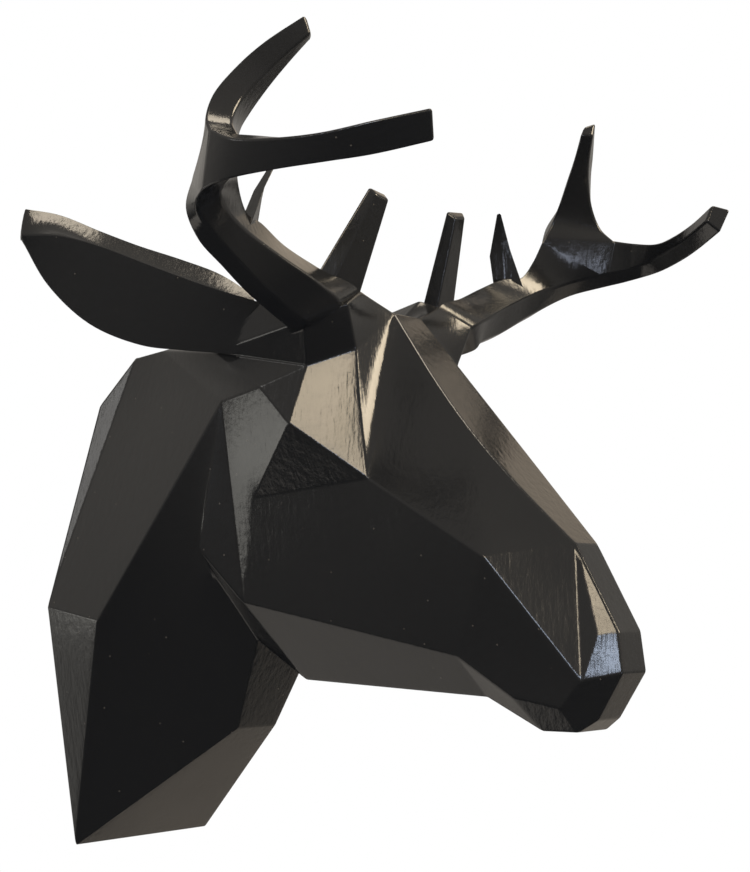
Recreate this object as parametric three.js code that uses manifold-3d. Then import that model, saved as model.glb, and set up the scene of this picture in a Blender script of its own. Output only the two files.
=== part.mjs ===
// A faceted stag's head on a short neck, one casting with a flat back that hangs on a wall.
// Units are millimetres. +Z is up, the flat back lies in the plane Y = 0, the muzzle points to -Y,
// and +X is the deer's own left. The origin is the middle of the flat back.
import * as THREE from "three";
import { mergeVertices } from "three/addons/utils/BufferGeometryUtils.js";
import Module from "manifold-3d";

// ---- driving sizes ------------------------------------------------------------------------------
const BACK_HEIGHT = 349; // height of the flat back, bottom edge to top edge
const BACK_CENTRE = 170; // the origin, measured up from the bottom edge of the back
const BACK_HALF_WIDTH = 99; // the widest place of the back
const BRIDGE_HALF_WIDTH = 15; // half the flat strip down the middle of the face, at the brow
const NOSE_HALF_WIDTH = 14;
const LINE_STEPS = 3; // pieces between two neighbouring points of an antler or ear line
const ROOT_DEPTH = 12; // how far a tine runs into the beam that carries it
const SMALLEST_DETAIL = 0.05; // slivers thinner than this, left where solids meet, are cleaned away

// Every point below is [out, forward, up]: out from the middle plane, forward from the wall and up
// from the bottom edge of the back. One side is written, the other is its mirror image.
const HEAD = {
  // outline of the flat back, bottom to top, and the narrow strip beside it
  backFoot: [69, 0, 0],
  backSide: [BACK_HALF_WIDTH, 0, 167],
  backShoulder: [50, 0, 309],
  backTop: [11, 0, BACK_HEIGHT],
  stripTop: [34, 21, 345],
  // neck
  neckSide: [111, 60, 158],
  chest: [21, 107, 83],
  throat: [32, 134, 144],
  jawNotch: [78, 120, 206],
  nape: [38, 51, 348],
  crown: [38, 150, 360],
  crownEdge: [37, 221, 378],
  crownDip: [12, 213, 354],
  // ear root and cheek
  earBack: [78, 132, 337],
  earTop: [85, 179, 366],
  earFront: [89, 182, 310],
  neckTop: [78, 140, 304],
  templeLow: [89, 206, 285],
  jawBack: [68, 160, 239],
  jawCorner: [56, 141, 170],
  jawKeel: [22, 168, 118],
  cheek: [64, 251, 249],
  templeFold: [60, 242, 297],
  muzzleTop: [53, 331, 199],
  jawFront: [40, 302, 137],
  // antler base
  baseOuter: [93, 221, 350],
  baseFront: [72, 241, 362],
  baseInner: [46, 232, 373],
  baseLow: [78, 212, 323],
  baseToe: [59, 238, 334],
  // face and muzzle
  browBridge: [BRIDGE_HALF_WIDTH, 237, 362],
  midBridge: [30, 303, 278],
  noseBridge: [NOSE_HALF_WIDTH, 374, 207],
  noseTop: [NOSE_HALF_WIDTH, 404, 153],
  noseTip: [NOSE_HALF_WIDTH + 1, 407, 128],
  noseLow: [NOSE_HALF_WIDTH, 389, 99],
  nostrilTop: [21, 393, 151],
  nostrilLow: [27, 385, 123],
  lipCorner: [32, 338, 112],
  lipFront: [27, 370, 106],
  lipKeel: [23, 314, 111],
  chinBack: [19, 352, 91],
  chinFront: [18, 377, 91],
};

// The outline of the middle plane, from the foot of the back under the chin, up over the nose and
// brow and down the nape: each neighbouring pair makes one facet that spans the middle.
const MIDDLE = ["backFoot", "chest", "throat", "jawKeel", "lipKeel", "chinBack", "chinFront", "noseLow",
  "noseTip", "noseTop", "noseBridge", "midBridge", "browBridge", "crownDip", "crown", "nape",
  "stripTop", "backTop"];

// Facets of one side, named corner by corner.
const SIDE_FACETS = [
  ["neckSide", "backSide", "stripTop", "nape", "neckTop"],
  ["backSide", "backShoulder", "stripTop"],
  ["backShoulder", "backTop", "stripTop"],
  ["neckSide", "backFoot", "backSide"],
  ["neckTop", "jawNotch", "throat", "chest", "backFoot", "neckSide"],
  ["jawNotch", "jawCorner", "jawKeel", "throat"],
  ["neckTop", "jawCorner", "jawNotch"],
  ["neckTop", "earFront", "templeLow", "jawBack"],
  ["neckTop", "jawBack", "jawCorner"],
  ["earFront", "baseLow", "templeLow"],
  ["templeLow", "cheek", "jawBack"],
  ["jawBack", "cheek", "muzzleTop", "jawFront", "jawCorner"],
  ["jawCorner", "jawFront", "lipKeel", "jawKeel"],
  ["jawFront", "lipCorner", "chinBack", "lipKeel"],
  ["muzzleTop", "nostrilLow", "lipFront", "lipCorner", "jawFront"],
  ["lipCorner", "lipFront", "chinFront", "chinBack"],
  ["nostrilLow", "noseTip", "noseLow", "chinFront", "lipFront"],
  ["nostrilTop", "noseTop", "noseTip", "nostrilLow"],
  ["noseBridge", "noseTop", "nostrilTop"],
  ["noseBridge", "nostrilTop", "nostrilLow"],
  ["noseBridge", "nostrilLow", "muzzleTop"],
  ["midBridge", "noseBridge", "muzzleTop", "cheek"],
  ["browBridge", "midBridge", "cheek"],
  ["browBridge", "cheek", "templeFold"],
  ["browBridge", "templeFold", "baseToe"],
  ["baseLow", "baseToe", "templeFold", "cheek", "templeLow"],
  ["baseOuter", "baseFront", "baseToe", "baseLow"],
  ["baseFront", "baseInner", "browBridge", "baseToe"],
  ["earBack", "baseOuter", "baseLow"],
  ["earBack", "baseLow", "earFront"],
  ["earTop", "baseOuter", "earBack"],
  ["nape", "earBack", "earFront", "neckTop"],
  ["crown", "earBack", "nape"],
  ["crown", "earTop", "earBack"],
  ["browBridge", "baseInner", "crownEdge", "crownDip"],
  ["crownDip", "crownEdge", "crown"],
  ["crown", "crownEdge", "baseInner", "baseFront", "baseOuter", "earTop"],
];

// An antler: a beam with four long edges that flattens into a plate and forks at the crotch.
// The front and keel edges run on into the forward tine, the top and back edges into the upright one.
const ANTLER = {
  front: [[68, 226, 348], [76, 238, 361], [98, 239, 371], [134, 235, 385], [165, 234, 396], [191, 240, 405],
    [208, 250, 411], [218, 266, 415], [223, 285, 418], [221, 303, 423], [205, 328, 427],
    [190, 348, 431], [171, 373, 437]],
  keel: [[84, 214, 342], [99, 226, 349], [112, 223, 356], [142, 225, 368], [167, 227, 380], [194, 231, 392],
    [216, 238, 401], [231, 255, 407], [234, 275, 410], [227, 304, 413], [212, 331, 417],
    [197, 352, 421], [177, 381, 429]],
  back: [[82, 204, 340], [96, 209, 346], [112, 210, 352], [142, 213, 363], [168, 216, 375], [194, 219, 388],
    [209, 223, 404], [199, 220, 425], [194, 226, 448], [195, 238, 465], [187, 252, 484],
    [177, 265, 502], [163, 280, 516]],
  top: [[45, 222, 360], [45, 230, 374], [81, 225, 385], [112, 221, 396], [138, 224, 406], [157, 228, 409],
    [168, 231, 421], [177, 236, 440], [181, 242, 453], [179, 248, 463], [173, 259, 480],
    [167, 269, 494], [159, 279, 509]],
  crotch: { inner: [218, 272, 440], outer: [233, 262, 442] },
  forwardInner: [[221, 289, 437], [216, 308, 434], [203, 329, 435], [191, 352, 441], [175, 376, 449]],
  forwardOuter: [[237, 284, 433], [232, 307, 431], [220, 332, 433], [205, 360, 439], [185, 385, 446]],
  uprightInner: [[214, 264, 449], [205, 262, 463], [191, 267, 480], [181, 273, 492], [167, 285, 509]],
  uprightOuter: [[228, 255, 450], [219, 253, 467], [205, 261, 487], [193, 270, 501], [172, 284, 520]],
};
const CROTCH_ROW = 7; // the row of the antler's edges that passes the crotch

// Tines that stand on the beam: rows of four corners from the foot to the tip, each row from the
// inner back corner by the front to the outer back one.
const BROW_TINE = [
  [[40, 222, 378], [44, 231, 374], [69, 228, 379], [76, 221, 386]],
  [[36, 244, 438], [39, 250, 433], [52, 249, 435], [55, 245, 440]],
];
const SMALL_TINE = [
  [[136, 217, 404], [143, 223, 405], [152, 230, 410], [152, 218, 405]],
  [[133, 216, 422], [138, 225, 427], [142, 229, 427], [142, 220, 426]],
  [[125, 228, 451], [126, 230, 452], [128, 230, 451], [128, 227, 451]],
];

// The ear: a folded leaf with a near rim, a far rim and a keel, open above.
const EAR = {
  nearRim: [[153, 27, 417], [142, 51, 416], [130, 77, 408], [118, 102, 397], [106, 127, 386],
    [95, 149, 377], [81, 177, 367]],
  farRim: [[145, 22, 437], [127, 36, 434], [110, 58, 423], [98, 83, 412], [85, 109, 402],
    [73, 134, 391], [63, 155, 376]],
  keel: [[151, 24, 413], [139, 37, 383], [124, 62, 356], [108, 94, 341], [96, 119, 337],
    [87, 138, 335], [76, 165, 332]],
  dish: 9, // how deep the open side is hollowed between its rims
};

// ---- helpers ------------------------------------------------------------------------------------
const wasm = await Module();
wasm.setup();

/** A point of one side (+1 the deer's left, -1 its right) in the part's own frame. */
const place = (point, side) => new THREE.Vector3(side * point[0], -point[1], point[2] - BACK_CENTRE);

/** The point halfway between two points. */
const middle = (a, b) => a.clone().lerp(b, 0.5);

/** A smooth line through a few points, sampled LINE_STEPS times between neighbours. */
function smoothLine(points) {
  const curve = new THREE.CatmullRomCurve3(points, false, "centripetal");
  return curve.getPoints((points.length - 1) * LINE_STEPS);
}

/** Collects the corners of facets and turns them into one closed solid. */
class FacetMesh {
  constructor() {
    this.positions = [];
  }

  facet(corners) {
    for (let i = 1; i + 1 < corners.length; i += 1) {
      for (const corner of [corners[0], corners[i], corners[i + 1]]) {
        this.positions.push(corner.x, corner.y, corner.z);
      }
    }
  }

  /** A band of facets between two lines of equally many points. */
  band(lineA, lineB) {
    for (let i = 0; i + 1 < lineA.length; i += 1) {
      this.facet([lineA[i], lineA[i + 1], lineB[i + 1], lineB[i]]);
    }
  }

  /** The closed solid; a mirrored side comes out inside out and is turned back here. */
  solid(mirrored = false) {
    const geometry = new THREE.BufferGeometry();
    geometry.setAttribute("position", new THREE.Float32BufferAttribute(this.positions, 3));
    const merged = mergeVertices(geometry, 1e-4);
    const triangles = Array.from(merged.index.array);
    if (mirrored) {
      for (let i = 0; i < triangles.length; i += 3) {
        [triangles[i + 1], triangles[i + 2]] = [triangles[i + 2], triangles[i + 1]];
      }
    }
    return new wasm.Manifold(new wasm.Mesh({
      numProp: 3,
      vertProperties: new Float32Array(merged.attributes.position.array),
      triVerts: new Uint32Array(triangles),
    }));
  }
}

// ---- the parts of the casting -------------------------------------------------------------------
/** Neck, jaw, face and muzzle: one closed faceted block, both sides at once. */
function headSolid() {
  const mesh = new FacetMesh();
  const corner = (name, side) => place(HEAD[name], side);
  for (const names of SIDE_FACETS) {
    const [first, ...others] = names;
    mesh.facet(names.map((name) => corner(name, 1)));
    mesh.facet([first, ...others.reverse()].map((name) => corner(name, -1)));
  }
  for (let i = 0; i + 1 < MIDDLE.length; i += 1) {
    const [a, b] = [MIDDLE[i], MIDDLE[i + 1]];
    mesh.facet([corner(a, 1), corner(b, 1), corner(b, -1), corner(a, -1)]);
  }
  const back = ["backTop", "backShoulder", "backSide", "backFoot"];
  mesh.facet([...back.map((name) => corner(name, 1)), ...back.reverse().map((name) => corner(name, -1))]);
  return mesh.solid();
}

/** One antler with its fork, as two tubes of facets that share the beam. */
function antlerSolid(side) {
  const line = (points) => smoothLine(points.map((point) => place(point, side)));
  const [front, keel, back, top] = [ANTLER.front, ANTLER.keel, ANTLER.back, ANTLER.top].map(line);
  const crotchIndex = CROTCH_ROW * LINE_STEPS;
  const beam = (edge) => edge.slice(0, crotchIndex + 1);
  const tine = (edge) => edge.slice(crotchIndex);
  const crotchInner = place(ANTLER.crotch.inner, side);
  const crotchOuter = place(ANTLER.crotch.outer, side);
  const ridge = (edgeA, edgeB, crotch) => {
    const points = beam(edgeA).map((point, i) => middle(point, edgeB[i]));
    points[crotchIndex] = crotch;
    return points;
  };
  const beamInner = ridge(front, top, crotchInner);
  const beamOuter = ridge(keel, back, crotchOuter);
  const branch = (crotch, points) => smoothLine([crotch, ...points.map((point) => place(point, side))]);
  const forwardInner = branch(crotchInner, ANTLER.forwardInner);
  const forwardOuter = branch(crotchOuter, ANTLER.forwardOuter);
  const uprightInner = branch(crotchInner, ANTLER.uprightInner);
  const uprightOuter = branch(crotchOuter, ANTLER.uprightOuter);

  const mesh = new FacetMesh();
  mesh.band(keel, front);
  mesh.band(top, back);
  mesh.band(beam(front), beamInner);
  mesh.band(beamInner, beam(top));
  mesh.band(beamOuter, beam(keel));
  mesh.band(beam(back), beamOuter);
  mesh.band(tine(front), forwardInner);
  mesh.band(forwardInner, forwardOuter);
  mesh.band(forwardOuter, tine(keel));
  mesh.band(uprightInner, tine(top));
  mesh.band(tine(back), uprightOuter);
  mesh.band(uprightOuter, uprightInner);
  const first = (edge) => edge[0];
  const last = (edge) => edge[edge.length - 1];
  mesh.facet([front, beamInner, top, back, beamOuter, keel].map(first));
  mesh.facet([keel, forwardOuter, forwardInner, front].map(last));
  mesh.facet([uprightOuter, back, top, uprightInner].map(last));
  return mesh.solid(side < 0);
}

/** A tapering tine, run ROOT_DEPTH into the beam below it. */
function tineSolid(tine, side) {
  const rows = tine.map((row) => row.map((point) => place(point, side)));
  rows[0].forEach((corner, i) => {
    const along = corner.clone().sub(rows[1][i]).normalize();
    corner.addScaledVector(along, ROOT_DEPTH);
  });
  const mesh = new FacetMesh();
  for (let row = 0; row + 1 < rows.length; row += 1) {
    const [low, high] = [rows[row], rows[row + 1]];
    for (let i = 0; i < low.length; i += 1) {
      const next = (i + 1) % low.length;
      mesh.facet([low[i], low[next], high[next], high[i]]);
    }
  }
  mesh.facet(rows[rows.length - 1]);
  mesh.facet([...rows[0]].reverse());
  return mesh.solid(side < 0);
}

/** One ear, its open side hollowed between the two rims. */
function earSolid(side) {
  const line = (points) => smoothLine(points.map((point) => place(point, side)));
  const [nearRim, farRim, keel] = [EAR.nearRim, EAR.farRim, EAR.keel].map(line);
  const lastRow = nearRim.length - 1;
  const hollow = nearRim.map((point, i) => {
    const depth = EAR.dish * Math.sin(Math.PI * Math.min(1, 0.15 + i / lastRow));
    return middle(point, farRim[i]).lerp(keel[i], Math.max(0, depth) / point.distanceTo(keel[i]));
  });
  const mesh = new FacetMesh();
  mesh.band(nearRim, keel);
  mesh.band(keel, farRim);
  mesh.band(farRim, hollow);
  mesh.band(hollow, nearRim);
  mesh.facet([nearRim, keel, farRim, hollow].map((edge) => edge[0]));
  mesh.facet([hollow, farRim, keel, nearRim].map((edge) => edge[lastRow]));
  return mesh.solid(side < 0);
}

/** A named mesh from a finished solid. */
function namedMesh(name, solid, material) {
  const { vertProperties, triVerts } = solid.getMesh();
  const geometry = new THREE.BufferGeometry();
  geometry.setAttribute("position", new THREE.BufferAttribute(vertProperties, 3));
  geometry.setIndex(new THREE.BufferAttribute(triVerts, 1));
  geometry.computeVertexNormals();
  const mesh = new THREE.Mesh(geometry, material);
  mesh.name = name;
  return mesh;
}

let casting = headSolid();
for (const side of [1, -1]) {
  for (const solid of [antlerSolid(side), tineSolid(BROW_TINE, side), tineSolid(SMALL_TINE, side),
    earSolid(side)]) {
    casting = casting.add(solid);
  }
}

casting = casting.simplify(SMALLEST_DETAIL);

const blackPaint = new THREE.MeshStandardMaterial({ color: 0x151412, roughness: 0.35, metalness: 0.1 });
blackPaint.name = "black_paint";

const group = new THREE.Group();
group.name = "stag_head_wall_mount";
group.add(namedMesh("stag_head", casting, blackPaint));

export default group;
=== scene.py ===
"""A faceted stag's head for a wall, cast in one piece and lacquered satin black, in a pale studio.

Metres, +Z up. The flat back lies in the plane y = 0, the muzzle points to -Y and +X is the deer's
own left. The origin is the middle of the flat back.
"""

import math

import bmesh
import bpy
from mathutils import Matrix, Vector


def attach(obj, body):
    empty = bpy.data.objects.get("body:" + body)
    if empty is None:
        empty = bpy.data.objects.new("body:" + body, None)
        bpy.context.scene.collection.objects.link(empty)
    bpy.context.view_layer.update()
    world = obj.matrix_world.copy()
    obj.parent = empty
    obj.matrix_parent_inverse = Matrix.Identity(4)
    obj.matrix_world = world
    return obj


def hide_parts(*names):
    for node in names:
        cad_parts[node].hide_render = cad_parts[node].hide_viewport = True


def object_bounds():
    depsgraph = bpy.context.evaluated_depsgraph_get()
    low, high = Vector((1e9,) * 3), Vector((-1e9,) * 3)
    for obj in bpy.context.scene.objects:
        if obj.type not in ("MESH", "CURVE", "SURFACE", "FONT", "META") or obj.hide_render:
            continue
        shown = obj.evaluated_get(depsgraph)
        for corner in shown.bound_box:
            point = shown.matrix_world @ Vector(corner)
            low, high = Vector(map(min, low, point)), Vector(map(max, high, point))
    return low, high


bl_info = {
    "name": "Faceted stag head",
    "version": (1, 0, 0),
    "blender": (4, 5, 0),
    "location": "3D View > Sidebar > Stag Head",
    "description": "Builds a black lacquered casting of a stag's head and a small studio for it",
    "category": "Object",
}

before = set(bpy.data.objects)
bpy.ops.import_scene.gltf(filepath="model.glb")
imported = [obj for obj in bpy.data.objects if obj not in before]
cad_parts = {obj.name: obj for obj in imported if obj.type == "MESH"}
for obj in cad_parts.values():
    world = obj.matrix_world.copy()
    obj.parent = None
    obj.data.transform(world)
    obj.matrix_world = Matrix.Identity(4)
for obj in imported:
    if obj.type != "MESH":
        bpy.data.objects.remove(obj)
CAD_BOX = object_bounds()
BACK_CENTRE = -CAD_BOX[0].z  # the origin, measured up from the bottom edge of the back

MILLIMETRE = 0.001
BRIDGE_HALF_WIDTH = 15  # half the flat strip down the middle of the face, at the brow
NOSE_HALF_WIDTH = 14  # the same where it runs out over the nose

# Every point below is [out, forward, up] in millimetres: out from the middle plane, forward from the
# wall and up from the bottom edge of the back. One side is written, the other is its mirror image.
HEAD = {
    # outline of the flat back, bottom to top, and the narrow strip beside it
    "back_foot": (69, 0, 0),
    "back_side": (99, 0, 167),
    "back_shoulder": (50, 0, 309),
    "back_top": (11, 0, 349),
    "strip_top": (34, 21, 345),
    # neck
    "neck_side": (111, 60, 158),
    "chest": (21, 107, 83),
    "throat": (32, 134, 144),
    "jaw_notch": (78, 120, 206),
    "nape": (38, 51, 348),
    "crown": (38, 150, 360),
    "crown_edge": (37, 221, 378),
    "crown_dip": (12, 213, 354),
    # ear root and cheek
    "ear_back": (78, 132, 337),
    "ear_top": (85, 179, 366),
    "ear_front": (89, 182, 310),
    "neck_top": (78, 140, 304),
    "temple_low": (89, 206, 285),
    "jaw_back": (68, 160, 239),
    "jaw_corner": (56, 141, 170),
    "jaw_keel": (22, 168, 118),
    "cheek": (64, 251, 249),
    "temple_fold": (60, 242, 297),
    "muzzle_top": (53, 331, 199),
    "jaw_front": (40, 302, 137),
    # antler base
    "base_outer": (93, 221, 350),
    "base_front": (72, 241, 362),
    "base_inner": (46, 232, 373),
    "base_low": (78, 212, 323),
    "base_toe": (59, 238, 334),
    # face and muzzle
    "brow_bridge": (BRIDGE_HALF_WIDTH, 237, 362),
    "mid_bridge": (30, 303, 278),
    "nose_bridge": (NOSE_HALF_WIDTH, 374, 207),
    "nose_top": (NOSE_HALF_WIDTH, 404, 153),
    "nose_tip": (NOSE_HALF_WIDTH + 1, 407, 128),
    "nose_low": (NOSE_HALF_WIDTH, 389, 99),
    "nostril_top": (21, 393, 151),
    "nostril_low": (27, 385, 123),
    "lip_corner": (32, 338, 112),
    "lip_front": (27, 370, 106),
    "lip_keel": (23, 314, 111),
    "chin_back": (19, 352, 91),
    "chin_front": (18, 377, 91),
}

# The outline of the middle plane, from the foot of the back under the chin, up over the nose and
# brow and down the nape: each neighbouring pair makes one facet that spans the middle.
MIDDLE = ("back_foot chest throat jaw_keel lip_keel chin_back chin_front nose_low nose_tip nose_top "
          "nose_bridge mid_bridge brow_bridge crown_dip crown nape strip_top back_top").split()

# Facets of one side, named corner by corner.
SIDE_FACETS = [
    "neck_side back_side strip_top nape neck_top",
    "back_side back_shoulder strip_top",
    "back_shoulder back_top strip_top",
    "neck_side back_foot back_side",
    "neck_top jaw_notch throat chest back_foot neck_side",
    "jaw_notch jaw_corner jaw_keel throat",
    "neck_top jaw_corner jaw_notch",
    "neck_top ear_front temple_low jaw_back",
    "neck_top jaw_back jaw_corner",
    "ear_front base_low temple_low",
    "temple_low cheek jaw_back",
    "jaw_back cheek muzzle_top jaw_front jaw_corner",
    "jaw_corner jaw_front lip_keel jaw_keel",
    "jaw_front lip_corner chin_back lip_keel",
    "muzzle_top nostril_low lip_front lip_corner jaw_front",
    "lip_corner lip_front chin_front chin_back",
    "nostril_low nose_tip nose_low chin_front lip_front",
    "nostril_top nose_top nose_tip nostril_low",
    "nose_bridge nose_top nostril_top",
    "nose_bridge nostril_top nostril_low",
    "nose_bridge nostril_low muzzle_top",
    "mid_bridge nose_bridge muzzle_top",
    "mid_bridge muzzle_top cheek",
    "brow_bridge mid_bridge cheek",
    "brow_bridge cheek temple_fold",
    "brow_bridge temple_fold base_toe",
    "base_low base_toe temple_fold cheek temple_low",
    "base_outer base_front base_toe base_low",
    "base_front base_inner brow_bridge base_toe",
    "ear_back base_outer base_low",
    "ear_back base_low ear_front",
    "ear_top base_outer ear_back",
    "nape ear_back ear_front neck_top",
    "crown ear_back nape",
    "crown ear_top ear_back",
    "brow_bridge base_inner crown_edge crown_dip",
    "crown_dip crown_edge crown",
    "crown crown_edge base_outer ear_top",
    "crown_edge base_inner base_front base_outer",
]

# Edges where two facets flow into each other instead of meeting at a line.
SOFT_EDGES = [
    ("mid_bridge", "cheek"),
    ("mid_bridge", "muzzle_top"),
    ("brow_bridge", "cheek"),
    ("brow_bridge", "temple_fold"),
    ("neck_top", "jaw_back"),
]
SOFT_MIDDLE = "mid_bridge"  # the bridge of the face bends softly here too

# An antler: a beam with four long edges that flattens into a plate and forks at the crotch.
# The front and keel edges run on into the forward tine, the top and back edges into the upright one.
ANTLER = {
    "front": [(68, 226, 348), (76, 238, 361), (98, 239, 371), (134, 235, 385), (165, 234, 396),
              (191, 240, 405), (208, 250, 411), (218, 266, 415), (223, 285, 418), (221, 303, 423),
              (205, 328, 427), (190, 348, 431), (171, 373, 437)],
    "keel": [(84, 214, 342), (99, 226, 349), (112, 223, 356), (142, 225, 368), (167, 227, 380),
             (194, 231, 392), (216, 238, 401), (231, 255, 407), (234, 275, 410), (227, 304, 413),
             (212, 331, 417), (197, 352, 421), (177, 381, 429)],
    "back": [(82, 204, 340), (96, 209, 346), (112, 210, 352), (142, 213, 363), (168, 216, 375),
             (194, 219, 388), (209, 223, 404), (199, 220, 425), (194, 226, 448), (195, 238, 465),
             (187, 252, 484), (177, 265, 502), (163, 280, 516)],
    "top": [(45, 222, 360), (45, 230, 374), (81, 225, 385), (112, 221, 396), (138, 224, 406),
            (157, 228, 409), (168, 231, 421), (177, 236, 440), (181, 242, 453), (179, 248, 463),
            (173, 259, 480), (167, 269, 494), (159, 279, 509)],
    "crotch_inner": (218, 272, 440),
    "crotch_outer": (233, 262, 442),
    "forward_inner": [(221, 289, 437), (216, 308, 434), (203, 329, 435), (191, 352, 441),
                      (175, 376, 449)],
    "forward_outer": [(237, 284, 433), (232, 307, 431), (220, 332, 433), (205, 360, 439),
                      (185, 385, 446)],
    "upright_inner": [(214, 264, 449), (205, 262, 463), (191, 267, 480), (181, 273, 492),
                      (167, 285, 509)],
    "upright_outer": [(228, 255, 450), (219, 253, 467), (205, 261, 487), (193, 270, 501),
                      (172, 284, 520)],
}
CROTCH_ROW = 7  # the row of the antler's edges that passes the crotch

# Tines that stand on the beam: rows of four corners from the foot to the tip, each row from the
# inner back corner by the front to the outer back one.
BROW_TINE = [
    [(40, 222, 378), (44, 231, 374), (69, 228, 379), (76, 221, 386)],
    [(36, 244, 438), (39, 250, 433), (52, 249, 435), (55, 245, 440)],
]
SMALL_TINE = [
    [(136, 217, 404), (143, 223, 405), (152, 230, 410), (152, 218, 405)],
    [(133, 216, 422), (138, 225, 427), (142, 229, 427), (142, 220, 426)],
    [(125, 228, 451), (126, 230, 452), (128, 230, 451), (128, 227, 451)],
]
ROOT_DEPTH = 12  # how far a tine runs into the beam that carries it, in millimetres
TIP_ROUNDING = 0.3  # rounding of a tine's edges at most, as a share of the narrowest side of its tip

# The ear: a folded leaf with a near rim, a far rim and a keel, open above.
EAR = {
    "near_rim": [(153, 27, 417), (142, 51, 416), (130, 77, 408), (118, 102, 397), (106, 127, 386),
                 (95, 149, 377), (81, 177, 367)],
    "far_rim": [(145, 22, 437), (127, 36, 434), (110, 58, 423), (98, 83, 412), (85, 109, 402),
                (73, 134, 391), (63, 155, 376)],
    "keel": [(151, 24, 413), (139, 37, 383), (124, 62, 356), (108, 94, 341), (96, 119, 337),
             (87, 138, 335), (76, 165, 332)],
}
EAR_DISH = 9  # how deep the open side is hollowed between its rims, in millimetres
EAR_DISH_START = 1 / 3  # how far along from the tip the hollow reaches its full depth
EAR_TIP_BULGE = 1.5  # how far the rounded tip stands out past the first row, in millimetres
EAR_TIP_TURNS = (75, 50, 25)  # where the rings of the rounded tip lie on its quarter turn, in degrees
EAR_SIDE_STEPS = 4  # faces across each of the ear's three sides

EDGE_SEGMENTS = 3  # faces round each rounded edge
CREASE_DEGREES = 46  # faces that meet at a sharper angle than this keep a crisp line between them
FLAT_WEIGHT = 80  # how strongly the large faces decide the shading of the rounded edges beside them


# ---- settings ----------------------------------------------------------------------------------
class StagHeadSizes(bpy.types.PropertyGroup):
    facet_edge: bpy.props.FloatProperty(
        name="Facet edge", description="Width of the rounding along each facet's edge",
        default=0.0012, min=0.0002, max=0.004, unit="LENGTH", subtype="DISTANCE")
    antler_edge: bpy.props.FloatProperty(
        name="Antler edge", description="Width of the rounding along the antlers and tines",
        default=0.0018, min=0.0002, max=0.004, unit="LENGTH", subtype="DISTANCE")
    facet_levels: bpy.props.IntProperty(
        name="Facet levels", description="How finely the softly curved facets are divided",
        default=3, min=1, max=4)
    line_steps: bpy.props.IntProperty(
        name="Line steps", description="Pieces between two neighbouring points of a long curved edge",
        default=8, min=2, max=12)


class LacquerLook(bpy.types.PropertyGroup):
    lacquer: bpy.props.StringProperty(
        name="Lacquer", description="Colour of the black lacquer, as a hex value", default="#1b1c1e")
    roughness: bpy.props.FloatProperty(
        name="Roughness", description="How much the lacquer blurs reflections",
        default=0.16, min=0.0, max=1.0, subtype="FACTOR")
    brush_relief: bpy.props.FloatProperty(
        name="Brush relief", description="Height of the brush and sanding marks under the lacquer",
        default=0.00015, min=0.0, max=0.001, unit="LENGTH", subtype="DISTANCE")


class StudioSetup(bpy.types.PropertyGroup):
    floor_drop: bpy.props.FloatProperty(
        name="Floor drop", description="How far the floor lies below the origin",
        default=0.75, min=0.2, max=3.0, unit="LENGTH", subtype="DISTANCE")
    floor_radius: bpy.props.FloatProperty(
        name="Floor radius", description="Radius of the round floor",
        default=3.0, min=1.0, max=20.0, unit="LENGTH", subtype="DISTANCE")


# ---- geometry helpers --------------------------------------------------------------------------
def place(point, side):
    """A point of one side (+1 the deer's left, -1 its right) in the frame, in metres."""
    out, forward, up = point
    return Vector((side * out, -forward, up)) * MILLIMETRE - Vector((0, 0, BACK_CENTRE))


def smooth_line(points, steps):
    """A centripetal Catmull-Rom line through the points, with this many pieces between neighbours."""
    first = points[0] * 2 - points[1]
    last = points[-1] * 2 - points[-2]
    padded = [first, *points, last]
    line = []
    for i in range(1, len(padded) - 2):
        before, start, end, after = padded[i - 1:i + 3]
        pairs = ((before, start), (start, end), (end, after))
        spans = [(b - a).length ** 0.5 for a, b in pairs]
        leave = ((start - before) / spans[0] - (end - before) / (spans[0] + spans[1])
                 + (end - start) / spans[1]) * spans[1]
        arrive = ((end - start) / spans[1] - (after - start) / (spans[1] + spans[2])
                  + (after - end) / spans[2]) * spans[1]
        for step in range(steps):
            t = step / steps
            line.append(start * (2 * t ** 3 - 3 * t ** 2 + 1) + leave * (t ** 3 - 2 * t ** 2 + t)
                        + end * (3 * t ** 2 - 2 * t ** 3) + arrive * (t ** 3 - t ** 2))
    line.append(points[-1].copy())
    return line


def finish_solid(mesh, name):
    """Turns a bmesh into an object, its doubles merged and its faces pointing out."""
    bmesh.ops.remove_doubles(mesh, verts=mesh.verts, dist=1e-6)
    bmesh.ops.recalc_face_normals(mesh, faces=mesh.faces)
    data = bpy.data.meshes.new(name)
    mesh.to_mesh(data)
    mesh.free()
    solid = bpy.data.objects.new(name, data)
    bpy.context.scene.collection.objects.link(solid)
    return solid


def add_band(mesh, line_a, line_b):
    """A band of faces between two lines of corners."""
    for i in range(len(line_a) - 1):
        mesh.faces.new((line_a[i], line_a[i + 1], line_b[i + 1], line_b[i]))


def round_edge(mesh, layer, line):
    """Marks the edges along a line of corners for rounding."""
    for a, b in zip(line, line[1:]):
        edge = mesh.edges.get((a, b))
        if edge is not None:
            edge[layer] = 1.0


def apply_modifiers(solid):
    """Bakes an object's modifiers into its mesh and removes them."""
    graph = bpy.context.evaluated_depsgraph_get()
    baked = bpy.data.meshes.new_from_object(solid.evaluated_get(graph), preserve_all_data_layers=True,
                                            depsgraph=graph)
    old = solid.data
    solid.modifiers.clear()
    solid.data = baked
    bpy.data.meshes.remove(old)


def bevel(solid, width):
    """Rounds the edges that carry a bevel weight."""
    modifier = solid.modifiers.new("rounded edges", "BEVEL")
    modifier.limit_method = "WEIGHT"
    modifier.width = width
    modifier.segments = EDGE_SEGMENTS
    modifier.use_clamp_overlap = False
    modifier.miter_outer = "MITER_ARC"


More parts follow.
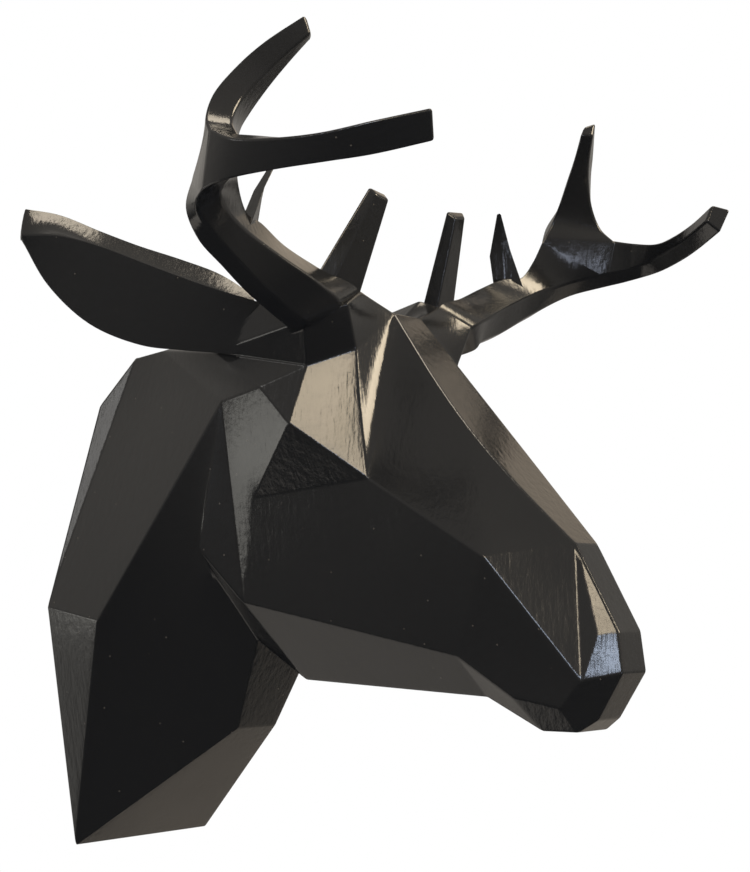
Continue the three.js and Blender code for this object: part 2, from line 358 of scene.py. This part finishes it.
# ---- the parts of the casting ------------------------------------------------------------------
def head_block(sizes):
    """Neck, jaw, face and muzzle: flat facets with rounded edges, and the softly curved face side."""
    mesh = bmesh.new()
    crease = mesh.edges.layers.float.new("crease_edge")
    weight = mesh.edges.layers.float.new("bevel_weight_edge")
    corners = {(name, side): mesh.verts.new(place(point, side))
               for name, point in HEAD.items() for side in (1, -1)}
    for facet in SIDE_FACETS:
        names = facet.split()
        mesh.faces.new([corners[name, 1] for name in names])
        mesh.faces.new([corners[name, -1] for name in reversed(names)])
    for low, high in zip(MIDDLE, MIDDLE[1:]):
        mesh.faces.new([corners[low, 1], corners[high, 1], corners[high, -1], corners[low, -1]])
    back = "back_top back_shoulder back_side back_foot".split()
    mesh.faces.new([corners[name, 1] for name in back] + [corners[name, -1] for name in reversed(back)])

    soft = {frozenset((corners[a, side], corners[b, side])) for a, b in SOFT_EDGES for side in (1, -1)}
    soft.add(frozenset((corners[SOFT_MIDDLE, 1], corners[SOFT_MIDDLE, -1])))
    for edge in mesh.edges:
        if frozenset(edge.verts) not in soft:
            edge[crease] = 1.0
            edge[weight] = 1.0
    head = finish_solid(mesh, "head")
    divide = head.modifiers.new("soft facets", "SUBSURF")
    divide.levels = sizes.facet_levels
    divide.render_levels = sizes.facet_levels
    bevel(head, sizes.facet_edge)
    apply_modifiers(head)
    return head


def antler(sizes, side):
    """One antler with its fork, as two tubes of long curved faces that share the beam."""
    mesh = bmesh.new()
    weight = mesh.edges.layers.float.new("bevel_weight_edge")
    steps = sizes.line_steps
    crotch = CROTCH_ROW * steps

    def corners(points):
        return [mesh.verts.new(point) for point in points]

    def line(points):
        return smooth_line([place(point, side) for point in points], steps)

    lines = {name: line(ANTLER[name]) for name in ("front", "keel", "back", "top")}
    edges = {name: corners(points) for name, points in lines.items()}
    crotches = {name: mesh.verts.new(place(ANTLER["crotch_" + name], side)) for name in ("inner", "outer")}

    def ridge(edge_a, edge_b, tip):
        halfway = [(a + b) / 2 for a, b in zip(lines[edge_a][:crotch], lines[edge_b][:crotch])]
        return corners(halfway) + [crotches[tip]]

    def branch(name, tip):
        points = [place(ANTLER["crotch_" + tip], side)] + [place(point, side) for point in ANTLER[name]]
        return [crotches[tip]] + corners(smooth_line(points, steps)[1:])

    beam_inner = ridge("front", "top", "inner")
    beam_outer = ridge("keel", "back", "outer")
    forward_inner, forward_outer = branch("forward_inner", "inner"), branch("forward_outer", "outer")
    upright_inner, upright_outer = branch("upright_inner", "inner"), branch("upright_outer", "outer")
    beam = {name: edge[:crotch + 1] for name, edge in edges.items()}
    tine = {name: edge[crotch:] for name, edge in edges.items()}

    add_band(mesh, edges["keel"], edges["front"])
    add_band(mesh, edges["top"], edges["back"])
    add_band(mesh, beam["front"], beam_inner)
    add_band(mesh, beam_inner, beam["top"])
    add_band(mesh, beam_outer, beam["keel"])
    add_band(mesh, beam["back"], beam_outer)
    add_band(mesh, tine["front"], forward_inner)
    add_band(mesh, forward_inner, forward_outer)
    add_band(mesh, forward_outer, tine["keel"])
    add_band(mesh, upright_inner, tine["top"])
    add_band(mesh, tine["back"], upright_outer)
    add_band(mesh, upright_outer, upright_inner)
    root = (edges["front"], beam_inner, edges["top"], edges["back"], beam_outer, edges["keel"])
    forward_tip = (edges["keel"], forward_outer, forward_inner, edges["front"])
    upright_tip = (upright_outer, edges["back"], edges["top"], upright_inner)
    mesh.faces.new([edge[0] for edge in root])
    mesh.faces.new([edge[-1] for edge in forward_tip])
    mesh.faces.new([edge[-1] for edge in upright_tip])

    long_edges = [*edges.values(), forward_inner, forward_outer, upright_inner, upright_outer]
    for long_edge in long_edges:
        round_edge(mesh, weight, long_edge)
    for tip in (forward_tip, upright_tip):
        ends = [edge[-1] for edge in tip]
        round_edge(mesh, weight, [*ends, ends[0]])
    solid = finish_solid(mesh, "antler")
    bevel(solid, sizes.antler_edge)
    apply_modifiers(solid)
    return solid


def tine_on_beam(sizes, rows, side):
    """A tapering tine, run into the beam below it, with rounded edges all round."""
    mesh = bmesh.new()
    weight = mesh.edges.layers.float.new("bevel_weight_edge")
    points = [[place(point, side) for point in row] for row in rows]
    points[0] = [foot + (foot - above).normalized() * ROOT_DEPTH * MILLIMETRE
                 for foot, above in zip(points[0], points[1])]
    corners = [[mesh.verts.new(point) for point in row] for row in points]
    for low, high in zip(corners, corners[1:]):
        for i in range(len(low)):
            j = (i + 1) % len(low)
            mesh.faces.new((low[i], low[j], high[j], high[i]))
    mesh.faces.new(corners[-1])
    mesh.faces.new(list(reversed(corners[0])))
    for i in range(len(corners[0])):
        round_edge(mesh, weight, [row[i] for row in corners])
    round_edge(mesh, weight, [*corners[-1], corners[-1][0]])
    tip_width = min((a - b).length for a, b in zip(points[-1], points[-1][1:]))
    solid = finish_solid(mesh, "tine")
    bevel(solid, min(sizes.antler_edge, tip_width * TIP_ROUNDING))
    apply_modifiers(solid)
    return solid


def ear(sizes, side):
    """One ear: a folded leaf, hollowed between its two rims and rounded at its tip."""
    mesh = bmesh.new()
    weight = mesh.edges.layers.float.new("bevel_weight_edge")
    near, far, keel = (smooth_line([place(point, side) for point in EAR[name]], sizes.line_steps)
                       for name in ("near_rim", "far_rim", "keel"))
    last = len(near) - 1
    across = EAR_SIDE_STEPS

    def arc(start, end, bulge):
        return [start.lerp(end, k / across) + bulge * (4 * k / across * (1 - k / across))
                for k in range(across)]

    rings = []
    for i, (rim, other, low) in enumerate(zip(near, far, keel)):
        depth = EAR_DISH * MILLIMETRE * min(1.0, i / last / EAR_DISH_START)
        inward = (low - (rim + other) / 2).normalized() * depth
        rings.append(arc(rim, low, Vector()) + arc(low, other, Vector()) + arc(other, rim, inward))
    axis = (near[0] - near[2]).normalized()
    centre = sum(rings[0], Vector()) / len(rings[0])
    tip = []
    for degrees in EAR_TIP_TURNS:
        turn = math.radians(degrees)
        rise = axis * EAR_TIP_BULGE * MILLIMETRE * math.sin(turn)
        tip.append([centre + (point - centre) * math.cos(turn) + rise for point in rings[0]])
    rings = tip + rings
    corners = [[mesh.verts.new(point) for point in ring] for ring in rings]
    for low, high in zip(corners, corners[1:]):
        for i in range(len(low)):
            j = (i + 1) % len(low)
            mesh.faces.new((low[i], low[j], high[j], high[i]))
    mesh.faces.new(corners[0])
    mesh.faces.new(list(reversed(corners[-1])))
    for column in (0, across, 2 * across):
        round_edge(mesh, weight, [ring[column] for ring in corners[len(tip):]])
    solid = finish_solid(mesh, "ear")
    bevel(solid, sizes.facet_edge)
    apply_modifiers(solid)
    return solid


def drop_slivers(body):
    """Keeps the largest connected body, as a join can leave a loose sliver where surfaces nearly meet."""
    mesh = bmesh.new()
    mesh.from_mesh(body.data)
    unseen = set(mesh.verts)
    bodies = []
    while unseen:
        reached = {unseen.pop()}
        front = list(reached)
        while front:
            corner = front.pop()
            for edge in corner.link_edges:
                neighbour = edge.other_vert(corner)
                if neighbour not in reached:
                    reached.add(neighbour)
                    front.append(neighbour)
        unseen -= reached
        bodies.append(reached)
    bodies.sort(key=len)
    for sliver in bodies[:-1]:
        bmesh.ops.delete(mesh, geom=list(sliver), context="VERTS")
    mesh.to_mesh(body.data)
    mesh.free()


def unite(solids, name):
    """Joins overlapping closed solids into one closed mesh."""
    body, *others = solids
    for other in others:
        join = body.modifiers.new("join", "BOOLEAN")
        join.operation = "UNION"
        join.solver = "MANIFOLD"
        join.object = other
    apply_modifiers(body)
    drop_slivers(body)
    for other in others:
        data = other.data
        bpy.data.objects.remove(other)
        bpy.data.meshes.remove(data)
    body.name = name
    body.data.name = name
    return body


def shade(body):
    """Shades every flat facet flat and every rounded edge smooth, with a crisp line where solids meet."""
    data = body.data
    data.shade_smooth()
    data.set_sharp_from_angle(angle=math.radians(CREASE_DEGREES))
    weigh = body.modifiers.new("flat facets", "WEIGHTED_NORMAL")
    weigh.keep_sharp = True
    weigh.weight = FLAT_WEIGHT
    apply_modifiers(body)


# ---- materials ---------------------------------------------------------------------------------
# Sizes of the marks in the lacquer, in millimetres.
STROKE_WIDTH = 3.03
STROKE_LENGTH = 40
SANDING_MARK = 5.882
DULL_PATCH = 62.5
DUST_SPACING = 11.765
DUST_COLOUR = "#5a5650"
FLOOR_COLOUR = "#b6bfcf"

# The mix node has sockets of the same name for numbers, vectors and colours: these are its colours.
MIX_FIRST_COLOUR = 6
MIX_SECOND_COLOUR = 7
MIX_COLOUR_RESULT = 2


def per_metre(millimetres):
    """How many marks of this size fit in a metre: the scale of a pattern."""
    return 1 / (millimetres * MILLIMETRE)


def linear(hex_colour):
    """A hex sRGB colour as linear RGBA."""
    values = [int(hex_colour.lstrip("#")[i:i + 2], 16) / 255 for i in (0, 2, 4)]
    return (*[v / 12.92 if v <= 0.04045 else ((v + 0.055) / 1.055) ** 2.4 for v in values], 1.0)


def add_node(tree, kind, links=(), settings=(), inputs=()):
    """Adds a node with its settings, its input values and links from (node, output) to its inputs."""
    node = tree.nodes.new(kind)
    for name, value in dict(settings).items():
        setattr(node, name, value)
    for name, value in dict(inputs).items():
        node.inputs[name].default_value = value
    for name, (source, output) in dict(links).items():
        tree.links.new(source.outputs[output], node.inputs[name])
    return node


def black_lacquer(look):
    """Satin black lacquer, brushed over a sanded casting.

    The black is nearly neutral and a touch cool. Its clean reflections, broken by shallow brush
    strokes and a few dust specks, tell the eye that it is paint over a hand-finished casting.
    """
    material = bpy.data.materials.new("satin_black_lacquer")
    material.use_nodes = True
    tree = material.node_tree
    tree.nodes.clear()
    coordinates = add_node(tree, "ShaderNodeTexCoord")
    place_on = (coordinates, "Object")
    # Brush strokes that run down the casting, leaning a little.
    across, along = per_metre(STROKE_WIDTH), per_metre(STROKE_LENGTH)
    stroke_space = add_node(tree, "ShaderNodeMapping", {"Vector": place_on},
                            inputs={"Rotation": (0.5, 0.35, 0.2), "Scale": (across, across, along)})
    strokes = add_node(tree, "ShaderNodeTexNoise", {"Vector": (stroke_space, "Vector")},
                       inputs={"Scale": 1.0, "Detail": 3.0, "Roughness": 0.55})
    # Sanding marks in the iron, which the paint follows.
    sanding = add_node(tree, "ShaderNodeTexNoise", {"Vector": place_on},
                       inputs={"Scale": per_metre(SANDING_MARK), "Detail": 4.0, "Roughness": 0.6})
    relief = add_node(tree, "ShaderNodeMath", {0: (strokes, "Fac"), 1: (sanding, "Fac")},
                      {"operation": "ADD"})
    bump = add_node(tree, "ShaderNodeBump", {"Height": (relief, "Value")},
                    inputs={"Strength": 1.0, "Distance": look.brush_relief})
    # Broad patches where the lacquer is a little duller.
    patches = add_node(tree, "ShaderNodeTexNoise", {"Vector": place_on},
                       inputs={"Scale": per_metre(DULL_PATCH), "Detail": 2.0})
    dull = add_node(tree, "ShaderNodeMapRange", {"Value": (patches, "Fac")},
                    inputs={"From Min": 0.3, "From Max": 0.7, "To Min": look.roughness - 0.04,
                            "To Max": look.roughness + 0.05})
    # Dust specks about a millimetre across.
    specks = add_node(tree, "ShaderNodeTexVoronoi", {"Vector": place_on},
                      {"feature": "F1"}, {"Scale": per_metre(DUST_SPACING)})
    dust = add_node(tree, "ShaderNodeMapRange", {"Value": (specks, "Distance")},
                    inputs={"From Min": 0.03, "From Max": 0.05, "To Min": 1.0, "To Max": 0.0})
    colour = add_node(tree, "ShaderNodeMix", {"Factor": (dust, "Result")}, {"data_type": "RGBA"},
                      {MIX_FIRST_COLOUR: linear(look.lacquer), MIX_SECOND_COLOUR: linear(DUST_COLOUR)})
    shader = add_node(tree, "ShaderNodeBsdfPrincipled",
                      {"Base Color": (colour, MIX_COLOUR_RESULT), "Roughness": (dull, "Result"),
                       "Normal": (bump, "Normal")},
                      inputs={"IOR": 1.5, "Metallic": 0.0})
    add_node(tree, "ShaderNodeOutputMaterial", {"Surface": (shader, "BSDF")})
    return material


def matt_grey_floor():
    """Matt pale grey floor paint, cool enough to look neutral under the warm panels, with no shine."""
    material = bpy.data.materials.new("matt_grey_floor")
    material.use_nodes = True
    shader = material.node_tree.nodes["Principled BSDF"]
    shader.inputs["Base Color"].default_value = linear(FLOOR_COLOUR)
    shader.inputs["Roughness"].default_value = 0.9
    return material


# ---- studio ------------------------------------------------------------------------------------
# Soft light panels. The windows and the ceiling are bright, and each lights the few facets that mirror
# it. The others are dimmer and lift facets that would mirror the dark. Each row holds the azimuth (0 is
# in front of the muzzle, 90 the deer's left) and elevation of the panel's middle in degrees, its width
# and height in degrees as the head sees them, its distance in metres, its radiance and its colour.
PANELS = {
    "warm_window": (-59, 25, 15, 18, 6.0, 11.5, "#ffeccd"),
    "cool_window": (-60, 7, 10, 8, 6.0, 18.0, "#d6e6ff"),
    "brow_window": (28, 27, 26, 20, 6.0, 15.0, "#ffeccd"),
    "warm_ceiling": (12, 73, 26, 16, 6.0, 9.0, "#fff0d8"),
    "low_window": (-20, -16, 4, 10, 6.0, 12.0, "#dfe9ff"),
    "left_wall": (104, 32, 32, 26, 6.0, 0.45, "#ffdfb4"),
    "left_floor": (96, -33, 56, 24, 6.0, 0.3, "#fff0dc"),
    "strip_light": (-122, 34, 14, 12, 6.0, 2.8, "#fffdfa"),
    "jaw_card": (-144, -10, 29, 9, 1.25, 2.1, "#fffdf4"),
    "wall_low": (-168, -13, 14, 12, 6.0, 0.3, "#fffdf4"),
    "rear_floor": (-170, -48, 50, 22, 6.0, 0.75, "#fff6ea"),
}
HEAD_CENTRE = Vector((0, -0.2, 0.08))  # the panels face it, and the floor's middle is under it

CAMERA_PLACE = Vector((-1.08835, -1.00734, 0.00822))
CAMERA_LOOK = Vector((0.8042, 0.5894, 0.0768))
CAMERA_LENS = 82.57  # in millimetres, on a sensor 36 mm wide


def direction(azimuth, elevation):
    """A unit vector from the head, with azimuth 0 to -Y and 90 to +X."""
    a, e = math.radians(azimuth), math.radians(elevation)
    return Vector((math.sin(a) * math.cos(e), -math.cos(a) * math.cos(e), math.sin(e)))


def light_panel(name, azimuth, elevation, width, height, distance, radiance, colour):
    """A flat soft light that faces the head; its power follows from its size and radiance."""
    data = bpy.data.lights.new(name, "AREA")
    data.shape = "RECTANGLE"
    data.size = 2 * distance * math.tan(math.radians(width / 2))
    data.size_y = 2 * distance * math.tan(math.radians(height / 2))
    data.energy = radiance * math.pi * data.size * data.size_y
    data.color = linear(colour)[:3]
    panel = bpy.data.objects.new(name, data)
    outward = direction(azimuth, elevation)
    panel.location = HEAD_CENTRE + outward * distance
    panel.rotation_mode = "QUATERNION"
    panel.rotation_quaternion = outward.to_track_quat("Z", "Y")
    panel.visible_camera = False
    bpy.context.scene.collection.objects.link(panel)


def pale_world():
    """A white background, and a room around the head, dark low down, for the lacquer to reflect."""
    world = bpy.data.worlds.new("pale_studio")
    world.use_nodes = True
    tree = world.node_tree
    tree.nodes.clear()
    coordinates = add_node(tree, "ShaderNodeTexCoord")
    split = add_node(tree, "ShaderNodeSeparateXYZ", {"Vector": (coordinates, "Generated")})
    height = add_node(tree, "ShaderNodeMapRange", {"Value": (split, "Z")},
                      inputs={"From Min": -0.6, "From Max": 0.25, "To Min": 0.04, "To Max": 0.42})
    room = add_node(tree, "ShaderNodeBackground", {"Strength": (height, "Result")},
                    inputs={"Color": linear("#fff8ee")})
    white = add_node(tree, "ShaderNodeBackground", inputs={"Color": (1, 1, 1, 1), "Strength": 1.0})
    path = add_node(tree, "ShaderNodeLightPath")
    mix = add_node(tree, "ShaderNodeMixShader",
                   {0: (path, "Is Camera Ray"), 1: (room, "Background"), 2: (white, "Background")})
    add_node(tree, "ShaderNodeOutputWorld", {"Surface": (mix, "Shader")})
    return world


def round_floor(setup):
    """A flat round floor under the head."""
    mesh = bmesh.new()
    bmesh.ops.create_circle(mesh, cap_ends=True, radius=setup.floor_radius, segments=96)
    data = bpy.data.meshes.new("floor")
    mesh.to_mesh(data)
    mesh.free()
    data.transform(Matrix.Translation((0, HEAD_CENTRE.y, -setup.floor_drop)))
    floor = bpy.data.objects.new("floor", data)
    data.materials.append(matt_grey_floor())
    floor.visible_glossy = False  # the lacquer mirrors the dark low part of the room instead
    bpy.context.scene.collection.objects.link(floor)


def studio_camera():
    """The camera, below the antlers on the deer's right, level across and tilted up a little."""
    data = bpy.data.cameras.new("camera")
    data.sensor_width = 36
    data.lens = CAMERA_LENS
    data.clip_start = 0.05
    camera = bpy.data.objects.new("camera", data)
    camera.location = CAMERA_PLACE
    camera.rotation_mode = "QUATERNION"
    camera.rotation_quaternion = CAMERA_LOOK.to_track_quat("-Z", "Y")
    bpy.context.scene.collection.objects.link(camera)
    bpy.context.scene.camera = camera


# ---- operators and panel -----------------------------------------------------------------------
class STAG_OT_casting(bpy.types.Operator):
    """Builds head, antlers and ears as one casting and lacquers it"""

    bl_idname = "stag.casting"
    bl_label = "Stag Head Casting"

    def execute(self, context):
        sizes = context.scene.stag_sizes
        solids = [head_block(sizes)]
        for side in (1, -1):
            solids.append(antler(sizes, side))
            solids.append(tine_on_beam(sizes, BROW_TINE, side))
            solids.append(tine_on_beam(sizes, SMALL_TINE, side))
            solids.append(ear(sizes, side))
        casting = unite(solids, "stag_casting")
        shade(casting)
        casting.data.materials.clear()
        casting.data.materials.append(black_lacquer(context.scene.stag_lacquer))
        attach(casting, "root")
        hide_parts("stag_head")
        return {"FINISHED"}


class STAG_OT_studio(bpy.types.Operator):
    """Sets up the pale floor, the soft light panels, the background and the camera"""

    bl_idname = "stag.studio"
    bl_label = "Studio"

    def execute(self, context):
        setup = context.scene.stag_studio
        context.scene.world = pale_world()
        context.scene.view_settings.view_transform = "Standard"
        round_floor(setup)
        for name, panel in PANELS.items():
            light_panel(name, *panel)
        studio_camera()
        return {"FINISHED"}


class STAG_PT_panel(bpy.types.Panel):
    """Lists the steps and settings in the 3D view's sidebar"""

    bl_idname = "STAG_PT_panel"
    bl_label = "Stag Head"
    bl_space_type = "VIEW_3D"
    bl_region_type = "UI"
    bl_category = "Stag Head"

    def draw(self, context):
        layout = self.layout
        for settings in (context.scene.stag_sizes, context.scene.stag_lacquer, context.scene.stag_studio):
            for name in settings.__annotations__:
                layout.prop(settings, name)
        layout.operator(STAG_OT_casting.bl_idname)
        layout.operator(STAG_OT_studio.bl_idname)


CLASSES = (StagHeadSizes, LacquerLook, StudioSetup, STAG_OT_casting, STAG_OT_studio, STAG_PT_panel)


def register():
    for cls in CLASSES:
        bpy.utils.register_class(cls)
    bpy.types.Scene.stag_sizes = bpy.props.PointerProperty(type=StagHeadSizes)
    bpy.types.Scene.stag_lacquer = bpy.props.PointerProperty(type=LacquerLook)
    bpy.types.Scene.stag_studio = bpy.props.PointerProperty(type=StudioSetup)


def unregister():
    del bpy.types.Scene.stag_studio
    del bpy.types.Scene.stag_lacquer
    del bpy.types.Scene.stag_sizes
    for cls in reversed(CLASSES):
        bpy.utils.unregister_class(cls)


def main():
    """Builds the casting and the studio."""
    register()
    bpy.ops.stag.casting()
    bpy.ops.stag.studio()


if __name__ == "__main__":
    main()
